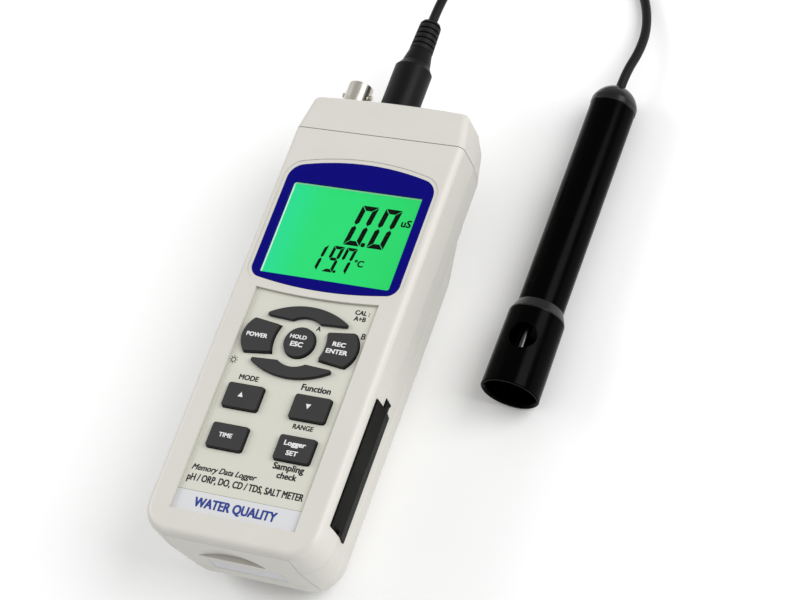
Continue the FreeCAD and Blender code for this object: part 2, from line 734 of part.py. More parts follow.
def make_cells():
    pitch = size("cell_length") + CELL_BUTTON
    level = size("cell_level")
    cells = []
    for column in (-1, 0, 1):
        x = column * size("cell_spacing")
        for row in (0, 1):
            low = CELL_LOW + row * pitch
            body = rod(size("cell_radius"), (x, low, level), (x, low + size("cell_length"), level))
            button = rod(2.6, (x, low + size("cell_length"), level), (x, low + pitch - 0.05, level))
            cells.append(body.fuse(button))
    shaped("cells", Part.makeCompound(cells))
    top = CELL_LOW + 2 * pitch
    plates = []
    for column in (-1, 0, 1):
        x = column * size("cell_spacing")
        plates.append(block((x - 6, top, level - 6), (x + 6, top + 0.4, level + 6)))
        plates.append(block((x - 6, CELL_LOW - 7.1, level - 6), (x + 6, CELL_LOW - 6.7, level + 6)))
    shaped("cell_contacts", Part.makeCompound(plates))
    springs = []
    for column in (-1, 0, 1):
        helix = Part.makeHelix(1.5, 6.0, 4.0)
        round_section = Part.Wire(Part.Circle(Vector(4.0, 0, 0), Y_AXIS, 0.35).toShape())
        coil = Part.Wire(helix).makePipeShell([round_section], True, True)
        coil.Placement = Placement(Vector(column * size("cell_spacing"), CELL_LOW - 6.36, level), ALONG_Y)
        springs.append(coil)
    shaped("cell_springs", Part.makeCompound(springs))


def make_screws():
    screws = []
    for x, y, head in SCREWS:
        shank = rod(SCREW_RADIUS, (x, y, head - 1.0), (x, y, 39.0))
        cap = rod(2.7, (x, y, head - 2.0), (x, y, head - 0.02))
        slot = block((x - 2.2, y - 0.35, head - 2.1), (x + 2.2, y + 0.35, head - 1.2))
        cross = block((x - 0.35, y - 2.2, head - 2.1), (x + 0.35, y + 2.2, head - 1.2))
        screws.append(shank.fuse(cap).cut([slot, cross]))
    shaped("case_screws", Part.makeCompound(screws))


# ---------------------------------------------------------------- battery cover, stand, port cover


def make_battery_cover():
    """The back panel with its end plate, the stand's recess and a thumb recess in the end."""
    panel = skin.common(cover_region(0.0))
    half = size("stand_width") / 2 + 0.35
    pivot = size("stand_pivot")
    low = pivot - size("stand_length") - 0.8
    high = pivot + 2.2
    depth = size("stand_thickness") + 0.25
    thick = block((-half - 3.4, low - 2, -1), (half + 3.4, high + 2, depth + 2.0)).common(outer)
    recess = block((-half, low, -1), (half, high, depth))
    window_x, window_y, width, length = stand_window()
    island = prism(rounded_rectangle(window_x, window_y, width - 1.2, length - 1.4, 2.5), 0, depth + 0.2)
    bore = rod(0.86, (-half - 2.6, pivot, pivot_level()), (half + 2.6, pivot, pivot_level()))
    bottom = size("body_bottom")
    scoop = Part.makeSphere(45.4, Vector(-2.8, bottom - 42.9, 23.0))
    nail = scoop.common(block((-30, bottom - 5, 28.5), (30, bottom + 5, 60)))
    solid = joined([joined([panel, thick]).cut([recess, bore]), island])
    shaped("battery_cover", solid.cut([nail, label_block(-13.7, -1.0, 15.7, 0.25, 0.2)]))
    shaped("cover_label", label_block(-13.5, 0.03, 15.5, 0.23, 0.0))


def label_block(left, outside, right, inside, gap):
    """A box that leans with the battery end, between two depths below its surface."""
    bottom = size("body_bottom")
    box = block((left, bottom + outside, 18.6 - gap), (right, bottom + inside, 25.6 + gap))
    box.rotate(Vector(0, bottom, size("parting_level")), X_AXIS, size("end_draft"))
    return box


def stand_window():
    """Middle and size of the opening in the stand."""
    return 0.0, size("stand_pivot") - 0.52 * size("stand_length"), size("stand_width") - 14.0, 40.0


def pivot_level():
    return 0.05 + size("stand_thickness") / 2


def stand_pin(way, half, beyond):
    """A round pin from inside the stand to a distance beyond its side; way is -1 or 1."""
    pivot = size("stand_pivot")
    return rod(0.8, (way * (half - 4.0), pivot, pivot_level()), (way * (half + beyond), pivot, pivot_level()))


def make_stand():
    """A flat U that turns on two pins and lies flush in the battery cover."""
    half = size("stand_width") / 2
    pivot = size("stand_pivot")
    tip = pivot - size("stand_length")
    level = pivot_level()
    radius = size("stand_thickness") / 2
    low = level - radius
    high = level + radius
    side = [
        Part.makeLine(Vector(-half, tip, low), Vector(-half, pivot, low)),
        Part.Arc(
            Vector(-half, pivot, low), Vector(-half, pivot + radius, level), Vector(-half, pivot, high),
        ).toShape(),
        Part.makeLine(Vector(-half, pivot, high), Vector(-half, tip, high)),
        Part.makeLine(Vector(-half, tip, high), Vector(-half, tip, low)),
    ]
    slab = Part.Face(Part.Wire(side)).extrude(Vector(2 * half, 0, 0))
    corners = rounded_rectangle(0, (tip + pivot) / 2 + 5, 2 * half + 0.2, pivot - tip + 10.2, 2.0)
    window = prism(rounded_rectangle(*stand_window(), 3.0), -1, 5)
    finger = rod(7.0, (0, tip - 4.0, -1), (0, tip - 4.0, 5))
    bores = [stand_pin(way, half, 1.0) for way in (-1, 1)]
    shaped("tilt_stand", slab.common(prism(corners, -1, 5)).cut([window, finger, *bores]))
    pins = [stand_pin(way, half, 2.6) for way in (-1, 1)]
    shaped("stand_pins", Part.makeCompound(pins))


def make_port_cover():
    """A rubber lid that follows the wall and turns about the round end of its tab."""
    gap = size("port_gap")
    region = port_region(-gap, size("port_depth") - 0.2)
    lid = hull(-size("port_rise")).common(region)
    axis_x, axis_y = port_axis()
    middle = (size("port_floor") + size("port_ceiling")) / 2 - 1.2
    half = size("tab_width") / 2 - gap
    beyond = block((20, axis_y, middle - half), (60, axis_y + 10, middle + half))
    eye = rod(0.95, (axis_x, axis_y, middle - half), (axis_x, axis_y, middle + half))
    nail = rod(3.2, (36.2, size("port_low") - 1.4, 33.5), (36.2, size("port_low") - 1.4, 38.5))
    shaped("port_cover", joined([lid.cut(beyond), eye]).cut(nail))


def port_axis():
    return size("body_half_width") - 0.35, size("port_high") + size("tab_length") - 1.15


# ---------------------------------------------------------------- sockets, plug


def make_coaxial_jack():
    x = size("jack_x")
    level = size("jack_level")
    mouth = size("body_top") - 0.4 + size("jack_length")
    barrel = tube(size("jack_radius"), 4.05, (x, 89.9, level), (x, mouth, level))
    flange = tube(6.3, 4.05, (x, 89.9, level), (x, 90.7, level))
    bush = tube(4.7, 4.05, (x, 82.5, level), (x, 90.0, level))
    lugs = rod(0.95, (x - 6.0, mouth - 4.2, level), (x + 6.0, mouth - 4.2, level))
    lugs = lugs.cut(rod(4.05, (x, 80, level), (x, mouth + 1, level)))
    shaped("coaxial_jack", joined([barrel, flange, bush, lugs]))
    flats = []
    for corner in range(7):
        angle = math.radians(60 * corner)
        flats.append(Vector(x + 6.6 * math.cos(angle), 84.2, level + 6.6 * math.sin(angle)))
    nut = Part.Face(Part.makePolygon(flats)).extrude(Vector(0, 2.4, 0))
    shaped("coaxial_nut", nut.cut(rod(4.7, (x, 80, level), (x, 90, level))))
    insulator = tube(4.0, 0.95, (x, 82.7, level), (x, mouth - 7.5, level))
    sleeve = tube(2.4, 0.95, (x, 82.7, level), (x, mouth - 2.6, level))
    shaped("coaxial_insulator", insulator.fuse(sleeve).removeSplitter())
    contact = joined([rod(0.92, (x, 79.5, level), (x, mouth - 3.0, level))])
    shaped("coaxial_contact", contact)


def pin_places(x):
    """Five contacts on three quarters of a circle about a socket's axis."""
    level = size("jack_level")
    places = []
    for angle in (0, 45, 90, 135, 180):
        radians = math.radians(angle)
        reach = size("pin_circle")
        places.append((x + reach * math.cos(radians), level + reach * math.sin(radians)))
    return places


def make_sockets():
    """Two cups behind the cap, each with an insulator that fills the end of its blind bore."""
    level = size("jack_level")
    mouth = 87.0
    floor = mouth - size("socket_depth")
    insulator_radius = size("socket_bore") - 0.5
    cups = []
    cores = []
    for x in (size("plug_x"), size("spare_x")):
        cup = rod(size("socket_radius"), (x, 77.2, level), (x, mouth, level))
        seat = rod(insulator_radius, (x, 78.2, level), (x, floor + 0.1, level))
        cups.append(cup.cut([rod(size("socket_bore"), (x, floor, level), (x, mouth + 1, level)), seat]))
        core = rod(insulator_radius, (x, 78.2, level), (x, floor, level))
        bore = size("pin_radius") + 0.08
        holes = [rod(bore, (px, 78.8, pz), (px, floor + 1, pz)) for px, pz in pin_places(x)]
        cores.append(core.cut(holes))
    shaped("multi_pin_sockets", Part.makeCompound(cups))
    shaped("socket_insulators", Part.makeCompound(cores))


PLUG_FACE = 90.35


def make_plug():
    x = size("plug_x")
    level = size("jack_level")
    start = (x, PLUG_FACE, level)
    shoulder = size("plug_length")
    radius = size("plug_radius")
    body = turned(
        [(0, 0), (0, radius - 0.4), (0.4, radius), (shoulder - 0.6, radius), (shoulder, radius - 0.5),
         (shoulder + 2.0, 5.6), (shoulder + 8.3, 4.35), (shoulder + 8.3, 0)],
        start, Y_AXIS,
    )
    shaped("plug_body", body.cut(rod(size("cable_radius"), (x, PLUG_FACE + 24, level), (x, 140, level))))
    shell_end = PLUG_FACE - size("plug_shell_length")
    radii = (size("plug_shell_radius"), size("plug_shell_bore"))
    shell = tube(*radii, (x, shell_end, level), (x, PLUG_FACE, level))
    shaped("plug_shell", shell)
    pins = [rod(size("pin_radius"), (px, 79.0, pz), (px, PLUG_FACE, pz)) for px, pz in pin_places(x)]
    shaped("plug_pins", Part.makeCompound(pins))
    relief_start = PLUG_FACE + shoulder + 8.3
    profile = [(0, 0)]
    for ring in range(5):
        step = 2.3 * ring
        reach = 4.5 - 0.08 * ring
        groove = reach - 0.9
        profile += [(step, reach), (step + 1.5, reach), (step + 1.55, groove), (step + 2.25, groove)]
    profile += [(11.5, 4.1), (12.6, 3.5), (12.9, 2.7), (12.9, 0)]
    relief = turned(profile, (x, relief_start, level), Y_AXIS)
    shaped("strain_relief", relief.cut(rod(size("cable_radius"), (x, 100, level), (x, 150, level))))
    return Vector(x, relief_start + 12.9, level)


# ---------------------------------------------------------------- probe

PROBE_SINK = (size("sleeve_radius") - size("dome_radius")) / (size("dome_place") - size("sleeve_length"))
PROBE_WAY = Vector(
    math.sin(math.radians(size("probe_turn"))), math.cos(math.radians(size("probe_turn"))), -PROBE_SINK
).normalize()
PROBE_MOUTH = Vector(
    size("probe_x"), size("probe_y"), size("sleeve_radius") + size("sleeve_length") * PROBE_SINK
)
PROBE_PLACE = Placement(PROBE_MOUTH, Rotation(Z_AXIS, PROBE_WAY))
HOLE_TURN = 98.0
BLOCK_START = 25.5


def on_probe(label, shape):
    """A piece drawn along +Z from the probe's mouth, then laid along the probe's axis."""
    return shaped(label, shape, PROBE_PLACE)


def ring_solid(profile):
    """A profile of (distance, radius) corners turned about the probe's axis."""
    return turned(profile, (0, 0, 0), Z_AXIS)


def make_cell_sleeve():
    mouth = size("mouth_radius")
    bore = size("sleeve_bore")
    length = size("sleeve_length")
    root = size("sleeve_radius")
    solid = ring_solid([
        (0, bore + 0.7), (0, mouth - 0.35), (0.35, mouth), (length, root), (length, bore), (0.8, bore),
    ])
    holes = []
    for half_turn in (0, 180):
        angle = math.radians(half_turn + HOLE_TURN)
        way = Vector(math.cos(angle), math.sin(angle), 0)
        holes.append(Part.makeCylinder(size("hole_radius"), 14.0, Vector(0, 0, size("hole_place")), way))
    on_probe("cell_sleeve", solid.cut(holes))


def make_cell_block():
    """The insulating block that closes the sleeve and carries the electrodes."""
    neck = size("handle_bore") - 0.06
    start = size("sleeve_length") + 0.1
    fit = size("sleeve_bore") - 0.05
    solid = ring_solid([
        (BLOCK_START, 0), (BLOCK_START, fit - 0.35), (BLOCK_START + 0.4, fit),
        (start - 0.1, fit), (start - 0.1, neck), (start + 12.0, neck), (start + 12.0, 0),
    ])
    seal_places = (start + 6.5, start + 9.0)
    seals = [Part.makeTorus(neck - 0.46, 0.44, Vector(0, 0, place)) for place in seal_places]
    grooves = [
        tube(neck + 1, neck - 0.95, (0, 0, place - 0.55), (0, 0, place + 0.55)) for place in seal_places
    ]
    bores = [rod(radius, (x, y, 0), (x, y, 36.0)) for x, y, radius in core_rods()]
    on_probe("cell_block", solid.cut(grooves + bores))
    on_probe("probe_seals", Part.makeCompound(seals))


def core_rods():
    """x, y and radius of the two electrodes and the temperature sensor."""
    reach = 4.6
    rods = []
    for angle, radius in ((150, size("electrode_radius")), (30, size("electrode_radius")), (270, 1.6)):
        radians = math.radians(angle)
        rods.append((reach * math.cos(radians), reach * math.sin(radians), radius))
    return rods


def make_probe():
    make_cell_sleeve()
    make_cell_block()
    first, second, sensor = core_rods()
    electrodes = [rod(radius, (x, y, 9.5), (x, y, 36.0)) for x, y, radius in (first, second)]
    on_probe("electrodes", Part.makeCompound(electrodes))
    tip = Part.makeSphere(sensor[2], Vector(sensor[0], sensor[1], 12.5))
    stem = rod(sensor[2], (sensor[0], sensor[1], 12.5), (sensor[0], sensor[1], 36.0))
    on_probe("temperature_sensor", stem.fuse(tip))
    start = size("sleeve_length") + 0.15
    end = start + size("collar_length")
    bore = size("handle_bore")
    on_probe("probe_collar", ring_solid([
        (start, bore), (start, size("sleeve_radius") - 0.1), (start + 0.5, size("sleeve_radius") - 0.15),
        (end, size("handle_radius") + 0.05), (end, bore),
    ]))
    handle = ring_solid([
        (end + 0.05, bore), (end + 0.05, size("handle_radius")),
        (size("dome_place") - 0.1, size("handle_radius")), (size("dome_place") - 0.1, bore),
    ])
    on_probe("probe_handle", handle)
    make_dome()
    clamp = rod(5.5, (0, 0, 100), (0, 0, 107)).cut(rod(size("cable_radius"), (0, 0, 90), (0, 0, 120)))
    on_probe("cable_clamp", clamp)
    on_probe("probe_lead", rod(size("cable_radius"), (0, 0, 96), (0, 0, size("probe_length"))))


def make_dome():
    """The domed cap: a spigot in the handle, a proud lip, a round end with the cable's hole."""
    place = size("dome_place")
    lip = size("dome_radius")
    spigot = size("handle_bore") - 0.05
    end = size("probe_length")
    hole = size("cable_radius")
    corners = [Vector(hole, 0, end), Vector(hole, 0, place - 8), Vector(spigot, 0, place - 8),
               Vector(spigot, 0, place), Vector(lip - 0.25, 0, place), Vector(lip, 0, place + 0.4),
               Vector(lip, 0, place + 2.4)]
    edges = [Part.makeLine(a, b) for a, b in zip(corners, corners[1:])]
    dome = Part.Arc(corners[-1], Vector(6.3, 0, end - 2.6), corners[0]).toShape()
    face = Part.Face(Part.Wire(edges + [dome]))
    solid = face.revolve(Vector(0, 0, 0), Z_AXIS, 360)
    on_probe("probe_end_cap", solid)


# ---------------------------------------------------------------- the free cable


def rounded_path(points, label):
    """Straight runs joined by the largest arcs that the runs leave room for."""
    edges = []
    radii = []
    at = points[0]
    for before, corner, after in zip(points, points[1:], points[2:]):
        arrive = (corner - before).normalize()
        leave = (after - corner).normalize()
        half_turn = arrive.getAngle(leave) / 2
        shorter = min((corner - before).Length, (after - corner).Length)
        setback = 0.45 * shorter
        radii.append(setback / math.tan(half_turn))
        start = corner - arrive * setback
        end = corner + leave * setback
        inward = (leave - arrive).normalize()
        middle = corner + inward * (radii[-1] / math.cos(half_turn) - radii[-1])
        edges.append(Part.LineSegment(at, start).toShape())
        edges.append(Part.Arc(start, middle, end).toShape())
        at = end
    edges.append(Part.LineSegment(at, points[-1]).toShape())
    path = Part.Wire(edges)
    print(f"{label}: length {path.Length:.1f} mm, radii", " ".join(f"{radius:.0f}" for radius in radii))
    return path


def cable_tube(label, points):
    path = rounded_path(points, label)
    radius = size("cable_radius")
    way = points[1] - points[0]
    section = Part.Wire(Part.Circle(points[0], way, radius).toShape())
    solid = path.makePipeShell([section], True, False)
    ideal = math.pi * radius**2 * path.Length
    print(f"{label}: volume {solid.Volume:.0f} against {ideal:.0f}")
    shaped(label, solid)


def make_cable(plug_end):
    radius = size("cable_radius")
    coil_x = size("coil_x")
    coil_y = size("coil_y")
    floor = size("coil_floor")
    reach = size("coil_radius") + 3 * radius
    exit_point = PROBE_PLACE.multVec(Vector(0, 0, size("probe_length")))
    probe_side = [
        exit_point,
        exit_point + PROBE_WAY * 7.7,
        Vector(70.3, 146.5, 6.2),
        Vector(69.4, 158.0, 4.1),
        Vector(65.0, 170.5, 2.6),
        Vector(57.6, 182.3, 2.2),
        Vector(54.0, 195.0, 2.3),
        Vector(coil_x + reach, coil_y, floor + radius),
    ]
    cable_tube("cable_to_probe", probe_side)
    plug_side = [
        plug_end,
        Vector(-3.5, 145.5, 30.6),
        Vector(-3.4, 159.0, 25.5),
        Vector(-2.6, 172.0, 17.0),
        Vector(-1.2, 184.5, 9.8),
        Vector(0.0, 195.5, 6.6),
        Vector(coil_x - reach, coil_y, floor + 3 * radius),
    ]
    cable_tube("cable_to_plug", plug_side)
    inside = size("coil_radius") - 4 * radius
    outside = size("coil_radius") + 4 * radius
    high = floor + 4 * radius
    ring = tube(outside, inside, (coil_x, coil_y, floor), (coil_x, coil_y, high))
    ring = ring.makeFillet(1.2, [edge for edge in ring.Edges if edge.Closed])
    shaped("cable_coil", ring)
    near = coil_y + inside - 0.4
    far = coil_y + outside + 0.15
    gap = 0.1
    band = block((coil_x - 2.5, near - 0.5, 0), (coil_x + 2.5, far + 0.5, high + gap + 0.5))
    shaped("coil_tie", band.cut(block((coil_x - 4, near, floor - gap), (coil_x + 4, far, high + gap))))


# ---------------------------------------------------------------- build and write

make_front_shell()
make_back_shell()
make_top_cap()
make_display()
make_keypad()
make_boards()
make_cells()
make_screws()
make_battery_cover()
make_stand()
make_port_cover()
make_coaxial_jack()
make_sockets()
make_cable(make_plug())
make_probe()
doc.recompute()

for thing in doc.Objects:
    if "Invalid" in thing.State or "Error" in thing.State:
        raise SystemExit(f"{thing.Label} failed: {thing.State}")
for label, thing in subparts.items():
    if thing.Shape.isNull() or not thing.Shape.isValid() or thing.Shape.Volume <= 0:
        raise SystemExit(f"{label} has no valid shape")

os.makedirs("parts", exist_ok=True)
for label, thing in subparts.items():
    thing.Shape.exportStep(f"parts/{label}.step")
print(len(subparts), "sub-parts")
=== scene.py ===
"""A handheld water quality meter lying on its back, with its conductivity probe and cable.

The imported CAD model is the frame: metres, +Z out of the display, +Y from the battery end to the
sockets, origin in the middle of the flat back. Sizes below are millimetres unless they say metres.
"""

import math

import bmesh
import bpy
from mathutils import Matrix, Vector


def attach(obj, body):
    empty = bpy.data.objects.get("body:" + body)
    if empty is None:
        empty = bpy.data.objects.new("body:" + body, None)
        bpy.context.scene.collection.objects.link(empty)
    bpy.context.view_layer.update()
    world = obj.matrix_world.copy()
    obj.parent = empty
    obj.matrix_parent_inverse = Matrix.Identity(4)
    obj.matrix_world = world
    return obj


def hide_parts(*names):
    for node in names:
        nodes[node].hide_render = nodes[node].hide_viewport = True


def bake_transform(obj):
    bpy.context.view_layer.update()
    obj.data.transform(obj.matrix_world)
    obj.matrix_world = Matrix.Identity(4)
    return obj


MM = 0.001

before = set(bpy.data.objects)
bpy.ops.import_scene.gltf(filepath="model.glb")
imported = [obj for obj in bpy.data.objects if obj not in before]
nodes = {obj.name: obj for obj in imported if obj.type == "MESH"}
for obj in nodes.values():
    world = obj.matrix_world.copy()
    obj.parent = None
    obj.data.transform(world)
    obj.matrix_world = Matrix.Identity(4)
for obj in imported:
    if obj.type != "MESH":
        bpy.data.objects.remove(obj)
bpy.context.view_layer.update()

OVERLAY_TOP = 43.7
KEY_TOP = 45.2
LCD_TOP = 42.8
INK = 0.03


def mm(*values):
    """A vector in metres from millimetres."""
    return Vector(values) * MM


# ---------------------------------------------------------------- camera and cords

CAMERA_TARGET = mm(18.8, 22.7, 20.0)
CAMERA_DISTANCE = 919.5
CAMERA_AZIMUTH = -42.28
CAMERA_ELEVATION = 55.03
CAMERA_ROLL = 33.06
CAMERA_LENS = 114.6

CABLE_RADIUS = 1.8
COIL_MIDDLE = (27.0, 206.0)
COIL_OUTER = 27.0
COIL_INNER = 16.2
COIL_LOW = 2.4
COIL_HIGH = 6.0
COIL_LEVEL_TURNS = 3.0
COIL_CLIMB_TURNS = 0.5
COIL_STEPS = 16

PROBE_ROUTE = (
    (68.82, 127.69, 8.62),
    (68.88, 135.4, 8.47),
    (70.3, 146.5, 6.2),
    (69.4, 158.0, 4.1),
    (65.0, 170.5, 2.6),
    (57.6, 182.3, 2.2),
    (54.0, 195.0, 2.3),
)
PLUG_ROUTE = (
    (0.0, 195.5, 6.6),
    (-1.2, 184.5, 9.8),
    (-2.6, 172.0, 17.0),
    (-3.4, 159.0, 25.5),
    (-3.5, 145.5, 30.6),
    (-3.5, 133.55, 31.0),
)


def make_camera():
    azimuth = math.radians(CAMERA_AZIMUTH)
    elevation = math.radians(CAMERA_ELEVATION)
    roll = math.radians(CAMERA_ROLL)
    flat = math.cos(elevation)
    away = Vector((flat * math.cos(azimuth), flat * math.sin(azimuth), math.sin(elevation)))
    level_right = Vector((-math.sin(azimuth), math.cos(azimuth), 0))
    level_up = away.cross(level_right)
    right = level_right * math.cos(roll) - level_up * math.sin(roll)
    up = level_right * math.sin(roll) + level_up * math.cos(roll)
    camera = bpy.data.objects.new("camera", bpy.data.cameras.new("camera"))
    camera.data.lens = CAMERA_LENS
    camera.data.clip_start = 0.05
    turn = Matrix((right, up, away)).transposed().to_4x4()
    camera.matrix_world = Matrix.Translation(CAMERA_TARGET + away * CAMERA_DISTANCE * MM) @ turn
    bpy.context.scene.collection.objects.link(camera)
    bpy.context.scene.camera = camera


def coil_points():
    """Three turns inwards on the floor, a climb at the inside, three turns outwards on top."""
    turns = 2 * COIL_LEVEL_TURNS + COIL_CLIMB_TURNS
    points = []
    for step in range(round(turns * COIL_STEPS) + 1):
        turn = step / COIL_STEPS
        inward = min(turn / COIL_LEVEL_TURNS, 1.0)
        climb = min(max((turn - COIL_LEVEL_TURNS) / COIL_CLIMB_TURNS, 0.0), 1.0)
        outward = max((turn - COIL_LEVEL_TURNS - COIL_CLIMB_TURNS) / COIL_LEVEL_TURNS, 0.0)
        radius = COIL_OUTER - (COIL_OUTER - COIL_INNER) * (inward - outward)
        angle = 2 * math.pi * turn
        points.append((
            COIL_MIDDLE[0] + radius * math.cos(angle),
            COIL_MIDDLE[1] + radius * math.sin(angle),
            COIL_LOW + (COIL_HIGH - COIL_LOW) * climb,
        ))
    return points


def curve_mesh(curve):
    """The mesh of a curve or text."""
    holder = bpy.data.objects.new(curve.name, curve)
    bpy.context.scene.collection.objects.link(holder)
    graph = bpy.context.evaluated_depsgraph_get()
    mesh = bpy.data.meshes.new_from_object(holder.evaluated_get(graph))
    bpy.data.objects.remove(holder)
    return mesh


def make_cable():
    points = [*PROBE_ROUTE, *coil_points(), *PLUG_ROUTE]
    curve = bpy.data.curves.new("signal_cable", "CURVE")
    curve.dimensions = "3D"
    spline = curve.splines.new("NURBS")
    spline.points.add(len(points) - 1)
    for point, place in zip(spline.points, points):
        point.co = (*mm(*place), 1.0)
    spline.order_u = 3
    spline.use_endpoint_u = True
    spline.resolution_u = 10
    centreline = [vertex.co.copy() for vertex in curve_mesh(curve).vertices]
    curve.bevel_depth = CABLE_RADIUS * MM
    curve.bevel_resolution = 6
    curve.use_fill_caps = True
    mesh = curve_mesh(curve)
    mesh.shade_smooth()
    cable = bpy.data.objects.new("signal_cable", mesh)
    bpy.context.scene.collection.objects.link(cable)
    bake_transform(cable)
    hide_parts("cable_to_probe", "cable_coil", "cable_to_plug")
    return cable


make_camera()
cable = make_cable()

# ---------------------------------------------------------------- materials


class Recipe:
    """A node material built step by step around one Principled BSDF."""

    def __init__(self, name):
        self.material = bpy.data.materials.new(name)
        self.material.use_nodes = True
        self.tree = self.material.node_tree
        self.shader = self.tree.nodes["Principled BSDF"]
        self.place = self.add("ShaderNodeTexCoord").outputs["Object"]

    def add(self, kind, **inputs):
        node = self.tree.nodes.new(kind)
        for name, value in inputs.items():
            self.feed(node.inputs[name.replace("_", " ")], value)
        return node

    def feed(self, socket, value):
        """Links a socket to another node's output, or sets its value."""
        if isinstance(value, bpy.types.NodeSocket):
            self.tree.links.new(value, socket)
        else:
            socket.default_value = value

    def set(self, **inputs):
        for name, value in inputs.items():
            self.feed(self.shader.inputs[name.replace("_", " ")], value)
        return self

    def noise(self, scale, detail=3.0, place=None):
        node = self.add("ShaderNodeTexNoise", Vector=place or self.place, Scale=scale, Detail=detail)
        return node.outputs["Fac"]

    def spread(self, factor, low, high):
        """Maps the middle of a noise to a range of values."""
        node = self.add("ShaderNodeMapRange", Value=factor)
        node.inputs["From Min"].default_value = 0.3
        node.inputs["From Max"].default_value = 0.7
        node.inputs["To Min"].default_value = low
        node.inputs["To Max"].default_value = high
        return node.outputs["Result"]

    def blend(self, factor, first, second):
        node = self.tree.nodes.new("ShaderNodeMix")
        node.data_type = "RGBA"
        self.feed(node.inputs["Factor"], factor)
        self.feed(node.inputs["A"], first)
        self.feed(node.inputs["B"], second)
        return node.outputs["Result"]

    def axis(self, name):
        return self.add("ShaderNodeSeparateXYZ", Vector=self.place).outputs[name]

    def step(self, value, low, high):
        """0 below low, 1 above high, in millimetres."""
        node = self.add("ShaderNodeMapRange", Value=value)
        node.interpolation_type = "SMOOTHSTEP"
        node.inputs["From Min"].default_value = low * MM
        node.inputs["From Max"].default_value = high * MM
        return node.outputs["Result"]

    def bump(self, height, depth, strength=0.5):
        """Raises the surface by a height map; depth is in millimetres."""
        node = self.add("ShaderNodeBump", Height=height, Strength=strength, Distance=depth * MM)
        if self.shader.inputs["Normal"].is_linked:
            self.feed(node.inputs["Normal"], self.shader.inputs["Normal"].links[0].from_socket)
        self.feed(self.shader.inputs["Normal"], node.outputs["Normal"])
        return self


def shade(colour, factor):
    """A linear colour made lighter or darker, with alpha."""
    return (*(min(channel * factor, 1.0) for channel in colour), 1.0)


def moulded(name, colour, roughness, grain, grain_depth, mottle, **sockets):
    """Moulded plastic or rubber: faint mottling, uneven gloss and a fine grain, in millimetres."""
    recipe = Recipe(name)
    cloud = recipe.noise(90.0, 4.0)
    fine = recipe.noise(1 / (grain * MM), 2.0)
    recipe.set(Base_Color=recipe.blend(cloud, shade(colour, 1 - mottle), shade(colour, 1 + mottle)))
    recipe.set(Roughness=recipe.spread(cloud, roughness - 0.05, roughness + 0.05), **sockets)
    return recipe.bump(fine, grain_depth)


def metal(name, colour, roughness, stretch=(1.0, 1.0, 1.0)):
    """Plated or brushed metal, with fine scratches along the stretched axis."""
    recipe = Recipe(name)
    mapped = recipe.add("ShaderNodeMapping", Vector=recipe.place, Scale=stretch).outputs["Vector"]
    scratches = recipe.noise(2500.0, 5.0, mapped)
    recipe.set(Metallic=1.0, Base_Color=recipe.blend(scratches, shade(colour, 0.88), shade(colour, 1.05)))
    recipe.set(Roughness=recipe.spread(scratches, roughness - 0.04, roughness + 0.06))
    return recipe.bump(scratches, 0.01, 0.3)


def make_materials():
    made = {
        "housing": moulded("housing_plastic", (0.585, 0.572, 0.525), 0.42, 0.45, 0.012, 0.025),
        "overlay": moulded("printed_film", (0.575, 0.572, 0.500), 0.40, 0.30, 0.006, 0.02),
        "strip": moulded("name_film", (0.600, 0.605, 0.615), 0.36, 0.30, 0.004, 0.02),
        "label": moulded("blank_label", (0.590, 0.595, 0.610), 0.55, 0.20, 0.008, 0.04),
        "lens_blue": moulded(
            "blue_print", (0.0018, 0.0012, 0.155), 0.15, 0.8, 0.002, 0.06, Specular_IOR_Level=0.07,
        ),
        "rubber": moulded(
            "black_rubber", (0.006, 0.006, 0.006), 0.55, 0.25, 0.02, 0.25, Specular_IOR_Level=0.2,
        ),
        "port": moulded(
            "port_rubber", (0.0030, 0.0030, 0.0022), 0.50, 0.35, 0.02, 0.25, Specular_IOR_Level=0.06,
        ),
        "black": moulded(
            "black_plastic", (0.008, 0.008, 0.009), 0.38, 0.40, 0.012, 0.2, Specular_IOR_Level=0.3,
        ),
        "plug": moulded(
            "plug_vinyl", (0.0022, 0.0027, 0.0024), 0.42, 0.35, 0.015, 0.2, Specular_IOR_Level=0.15,
        ),
        "cable": moulded(
            "cable_vinyl", (0.004, 0.004, 0.005), 0.42, 0.30, 0.02, 0.25, Specular_IOR_Level=0.2,
        ),
        "probe": moulded(
            "probe_plastic", (0.0003, 0.0003, 0.0003), 0.20, 0.50, 0.005, 0.3, Specular_IOR_Level=0.03,
        ),
        "collar": moulded(
            "satin_collar", (0.0015, 0.0015, 0.0015), 0.26, 0.35, 0.006, 0.2, Specular_IOR_Level=0.35,
        ),
        "graphite": moulded("graphite", (0.030, 0.030, 0.032), 0.60, 0.20, 0.02, 0.3),
        "board": moulded("circuit_board", (0.010, 0.085, 0.030), 0.35, 0.60, 0.02, 0.3),
        "white": moulded("white_insulator", (0.720, 0.700, 0.650), 0.45, 0.30, 0.01, 0.05),
        "guide": moulded("light_guide", (0.700, 0.780, 0.700), 0.25, 0.50, 0.004, 0.04),
        "nickel": metal("nickel_plate", (0.600, 0.570, 0.510), 0.30, (1.0, 0.15, 1.0)),
        "steel": metal("zinc_steel", (0.560, 0.560, 0.570), 0.32, (1.0, 0.2, 1.0)),
        "rim": moulded("display_rim", (0.820, 0.830, 0.850), 0.35, 0.4, 0.004, 0.03),
        # Painted shade: the temperature sensor's steel is darkened to match the shade inside the probe's
        # cell.
        "sensor": metal("sensor_steel_painted_shade", (0.060, 0.060, 0.062), 0.22),
        "gold": metal("gold_plate", (0.830, 0.560, 0.190), 0.22),
    }
    made["keys"] = key_rubber_painted_shade()
    made["display"] = display_glow()
    made["window"] = clear_window()
    made["cells"] = cell_wrap()
    return {name: recipe.material for name, recipe in made.items()}


# Painted shade: a key's surface turns from near-black on its steep edges to its grey top between these two
# upward slopes.
KEY_SHADE_SLOPES = (0.90, 0.985)


